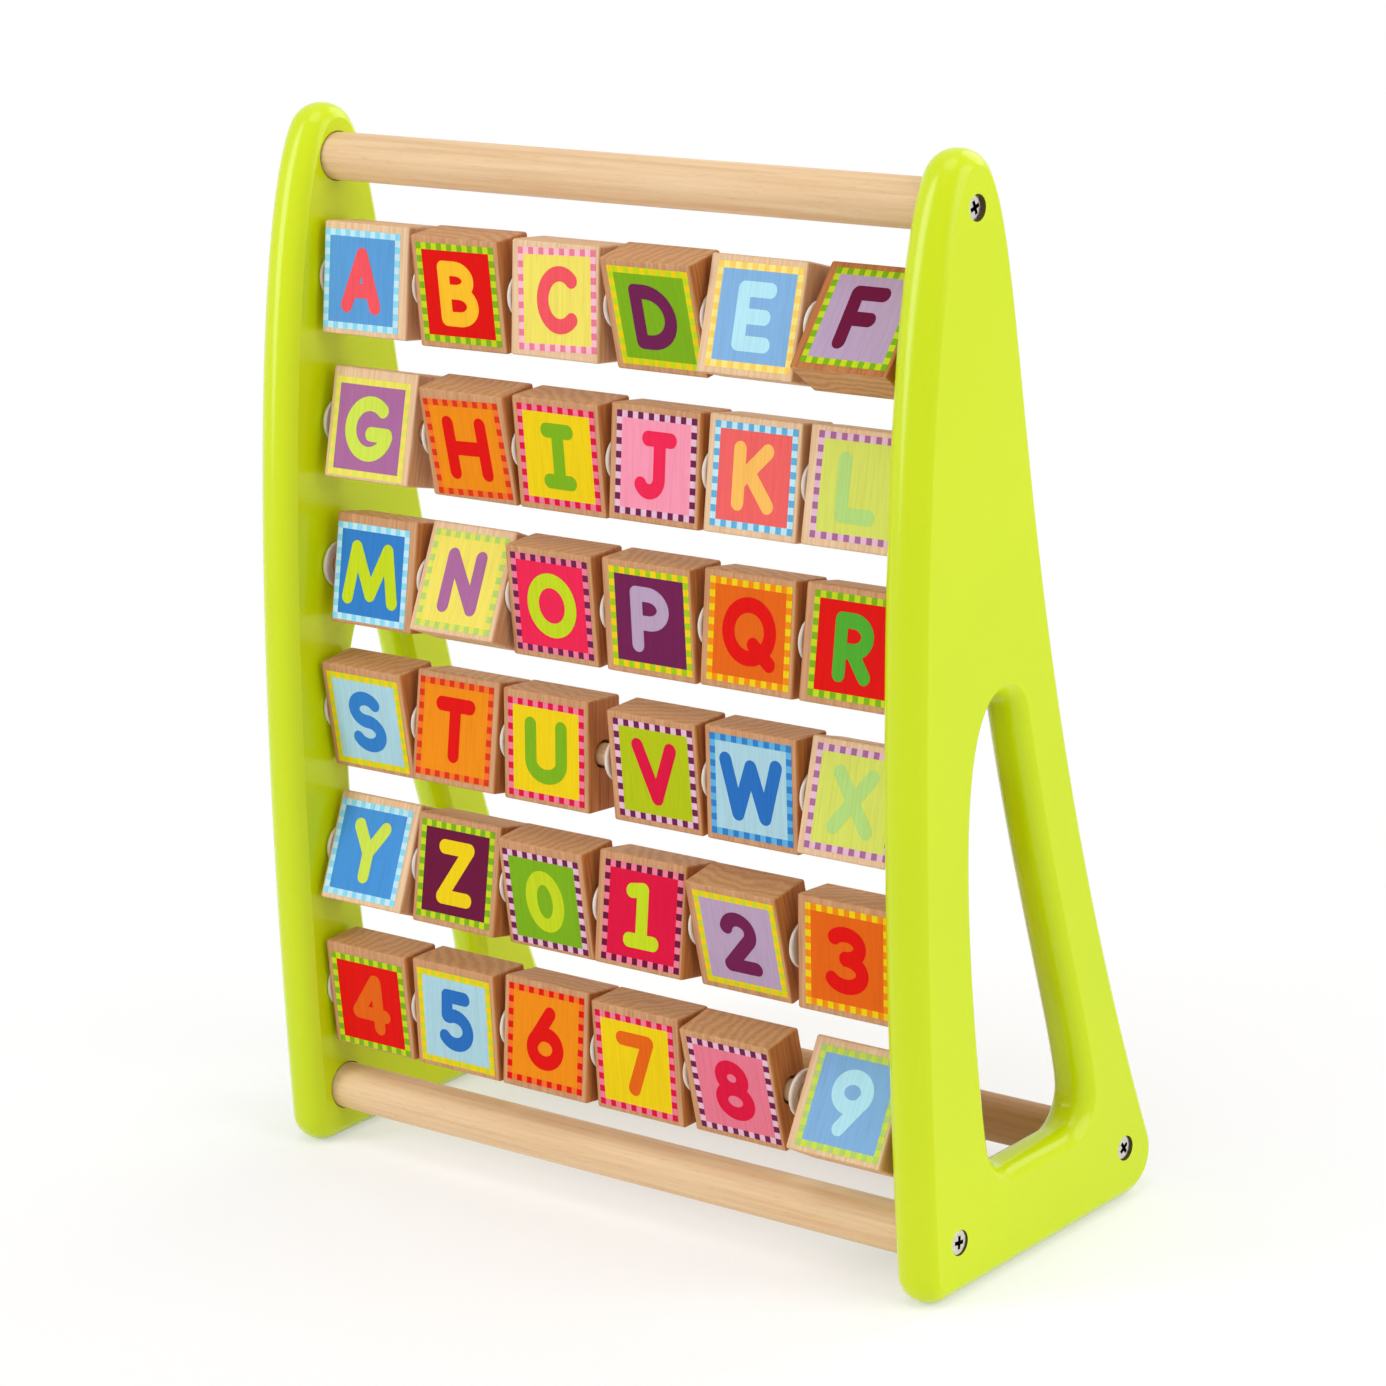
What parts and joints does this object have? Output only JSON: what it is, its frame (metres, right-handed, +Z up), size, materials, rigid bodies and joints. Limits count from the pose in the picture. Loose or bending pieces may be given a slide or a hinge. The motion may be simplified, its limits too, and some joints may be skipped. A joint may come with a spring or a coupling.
{
  "type": "alphabet board",
  "caption": "Freestanding wooden alphabet board: rows of lettered blocks spin freely on rods held between fin-shaped lacquered side panels tied by round rails.",
  "frame": {"origin": "on the floor, midway between the side panels and midway along their depth", "axes": "+Z up, +X along the rods towards the right panel, -Y out of the lettered front"},
  "size_m": [0.2618, 0.1167, 0.3333],
  "materials": {
    "panel": "satin lime green lacquer",
    "rail": "clear satin lacquer on beech",
    "rod": "white satin paint",
    "block": "clear matt lacquer on beech, printed faces",
    "screw": "nickel plated"
  },
  "bodies": {
    "frame": {"side_panel_left": "panel", "side_panel_right": "panel", "top_rail": "rail", "front_rail": "rail", "rear_rail": "rail", "row_rod_1": "rod", "row_rod_2": "rod", "row_rod_3": "rod", "row_rod_4": "rod", "row_rod_5": "rod", "row_rod_6": "rod", "screw_top_left": "screw", "screw_top_right": "screw", "screw_front_left": "screw", "screw_front_right": "screw", "screw_rear_left": "screw", "screw_rear_right": "screw"},
    "block_a": {"block_a": "block"},
    "block_b": {"block_b": "block"},
    "block_c": {"block_c": "block"},
    "block_d": {"block_d": "block"},
    "block_e": {"block_e": "block"},
    "block_f": {"block_f": "block"},
    "block_g": {"block_g": "block"},
    "block_h": {"block_h": "block"},
    "block_i": {"block_i": "block"},
    "block_j": {"block_j": "block"},
    "block_k": {"block_k": "block"},
    "block_l": {"block_l": "block"},
    "block_m": {"block_m": "block"},
    "block_n": {"block_n": "block"},
    "block_o": {"block_o": "block"},
    "block_p": {"block_p": "block"},
    "block_q": {"block_q": "block"},
    "block_r": {"block_r": "block"},
    "block_s": {"block_s": "block"},
    "block_t": {"block_t": "block"},
    "block_u": {"block_u": "block"},
    "block_v": {"block_v": "block"},
    "block_w": {"block_w": "block"},
    "block_x": {"block_x": "block"},
    "block_y": {"block_y": "block"},
    "block_z": {"block_z": "block"},
    "block_0": {"block_0": "block"},
    "block_1": {"block_1": "block"},
    "block_2": {"block_2": "block"},
    "block_3": {"block_3": "block"},
    "block_4": {"block_4": "block"},
    "block_5": {"block_5": "block"},
    "block_6": {"block_6": "block"},
    "block_7": {"block_7": "block"},
    "block_8": {"block_8": "block"},
    "block_9": {"block_9": "block"}
  },
  "joints": [
    {"name": "spin_a", "type": "hinge", "parent": "frame", "child": "block_a", "pos_m": [-0.0957, -0.01905, 0.2806], "axis": [1, 0, 0], "continuous": true},
    {"name": "spin_b", "type": "hinge", "parent": "frame", "child": "block_b", "pos_m": [-0.0566, -0.01905, 0.2806], "axis": [1, 0, 0], "continuous": true},
    {"name": "spin_c", "type": "hinge", "parent": "frame", "child": "block_c", "pos_m": [-0.0174, -0.01905, 0.2806], "axis": [1, 0, 0], "continuous": true},
    {"name": "spin_d", "type": "hinge", "parent": "frame", "child": "block_d", "pos_m": [0.0208, -0.01905, 0.2806], "axis": [1, 0, 0], "continuous": true},
    {"name": "spin_e", "type": "hinge", "parent": "frame", "child": "block_e", "pos_m": [0.0578, -0.01905, 0.2806], "axis": [1, 0, 0], "continuous": true},
    {"name": "spin_f", "type": "hinge", "parent": "frame", "child": "block_f", "pos_m": [0.0961, -0.01905, 0.2806], "axis": [1, 0, 0], "continuous": true},
    {"name": "spin_g", "type": "hinge", "parent": "frame", "child": "block_g", "pos_m": [-0.094, -0.02368, 0.235], "axis": [1, 0, 0], "continuous": true},
    {"name": "spin_h", "type": "hinge", "parent": "frame", "child": "block_h", "pos_m": [-0.0531, -0.02368, 0.235], "axis": [1, 0, 0], "continuous": true},
    {"name": "spin_i", "type": "hinge", "parent": "frame", "child": "block_i", "pos_m": [-0.0159, -0.02368, 0.235], "axis": [1, 0, 0], "continuous": true},
    {"name": "spin_j", "type": "hinge", "parent": "frame", "child": "block_j", "pos_m": [0.0217, -0.02368, 0.235], "axis": [1, 0, 0], "continuous": true},
    {"name": "spin_k", "type": "hinge", "parent": "frame", "child": "block_k", "pos_m": [0.0589, -0.02368, 0.235], "axis": [1, 0, 0], "continuous": true},
    {"name": "spin_l", "type": "hinge", "parent": "frame", "child": "block_l", "pos_m": [0.0959, -0.02368, 0.235], "axis": [1, 0, 0], "continuous": true},
    {"name": "spin_m", "type": "hinge", "parent": "frame", "child": "block_m", "pos_m": [-0.0928, -0.02831, 0.1894], "axis": [1, 0, 0], "continuous": true},
    {"name": "spin_n", "type": "hinge", "parent": "frame", "child": "block_n", "pos_m": [-0.0557, -0.02831, 0.1894], "axis": [1, 0, 0], "continuous": true},
    {"name": "spin_o", "type": "hinge", "parent": "frame", "child": "block_o", "pos_m": [-0.0187, -0.02831, 0.1894], "axis": [1, 0, 0], "continuous": true},
    {"name": "spin_p", "type": "hinge", "parent": "frame", "child": "block_p", "pos_m": [0.0195, -0.02831, 0.1894], "axis": [1, 0, 0], "continuous": true},
    {"name": "spin_q", "type": "hinge", "parent": "frame", "child": "block_q", "pos_m": [0.0576, -0.02831, 0.1894], "axis": [1, 0, 0], "continuous": true},
    {"name": "spin_r", "type": "hinge", "parent": "frame", "child": "block_r", "pos_m": [0.0953, -0.02831, 0.1894], "axis": [1, 0, 0], "continuous": true},
    {"name": "spin_s", "type": "hinge", "parent": "frame", "child": "block_s", "pos_m": [-0.0964, -0.03294, 0.1438], "axis": [1, 0, 0], "continuous": true},
    {"name": "spin_t", "type": "hinge", "parent": "frame", "child": "block_t", "pos_m": [-0.0586, -0.03294, 0.1438], "axis": [1, 0, 0], "continuous": true},
    {"name": "spin_u", "type": "hinge", "parent": "frame", "child": "block_u", "pos_m": [-0.0212, -0.03294, 0.1438], "axis": [1, 0, 0], "continuous": true},
    {"name": "spin_v", "type": "hinge", "parent": "frame", "child": "block_v", "pos_m": [0.022, -0.03294, 0.1438], "axis": [1, 0, 0], "continuous": true},
    {"name": "spin_w", "type": "hinge", "parent": "frame", "child": "block_w", "pos_m": [0.0593, -0.03294, 0.1438], "axis": [1, 0, 0], "continuous": true},
    {"name": "spin_x", "type": "hinge", "parent": "frame", "child": "block_x", "pos_m": [0.0964, -0.03294, 0.1438], "axis": [1, 0, 0], "continuous": true},
    {"name": "spin_y", "type": "hinge", "parent": "frame", "child": "block_y", "pos_m": [-0.0958, -0.03757, 0.0982], "axis": [1, 0, 0], "continuous": true},
    {"name": "spin_z", "type": "hinge", "parent": "frame", "child": "block_z", "pos_m": [-0.0588, -0.03757, 0.0982], "axis": [1, 0, 0], "continuous": true},
    {"name": "spin_0", "type": "hinge", "parent": "frame", "child": "block_0", "pos_m": [-0.0216, -0.03757, 0.0982], "axis": [1, 0, 0], "continuous": true},
    {"name": "spin_1", "type": "hinge", "parent": "frame", "child": "block_1", "pos_m": [0.0166, -0.03757, 0.0982], "axis": [1, 0, 0], "continuous": true},
    {"name": "spin_2", "type": "hinge", "parent": "frame", "child": "block_2", "pos_m": [0.0545, -0.03757, 0.0982], "axis": [1, 0, 0], "continuous": true},
    {"name": "spin_3", "type": "hinge", "parent": "frame", "child": "block_3", "pos_m": [0.0946, -0.03757, 0.0982], "axis": [1, 0, 0], "continuous": true},
    {"name": "spin_4", "type": "hinge", "parent": "frame", "child": "block_4", "pos_m": [-0.0964, -0.04221, 0.0526], "axis": [1, 0, 0], "continuous": true},
    {"name": "spin_5", "type": "hinge", "parent": "frame", "child": "block_5", "pos_m": [-0.0594, -0.04221, 0.0526], "axis": [1, 0, 0], "continuous": true},
    {"name": "spin_6", "type": "hinge", "parent": "frame", "child": "block_6", "pos_m": [-0.0217, -0.04221, 0.0526], "axis": [1, 0, 0], "continuous": true},
    {"name": "spin_7", "type": "hinge", "parent": "frame", "child": "block_7", "pos_m": [0.0156, -0.04221, 0.0526], "axis": [1, 0, 0], "continuous": true},
    {"name": "spin_8", "type": "hinge", "parent": "frame", "child": "block_8", "pos_m": [0.0526, -0.04221, 0.0526], "axis": [1, 0, 0], "continuous": true},
    {"name": "spin_9", "type": "hinge", "parent": "frame", "child": "block_9", "pos_m": [0.0959, -0.04221, 0.0526], "axis": [1, 0, 0], "continuous": true}
  ]
}
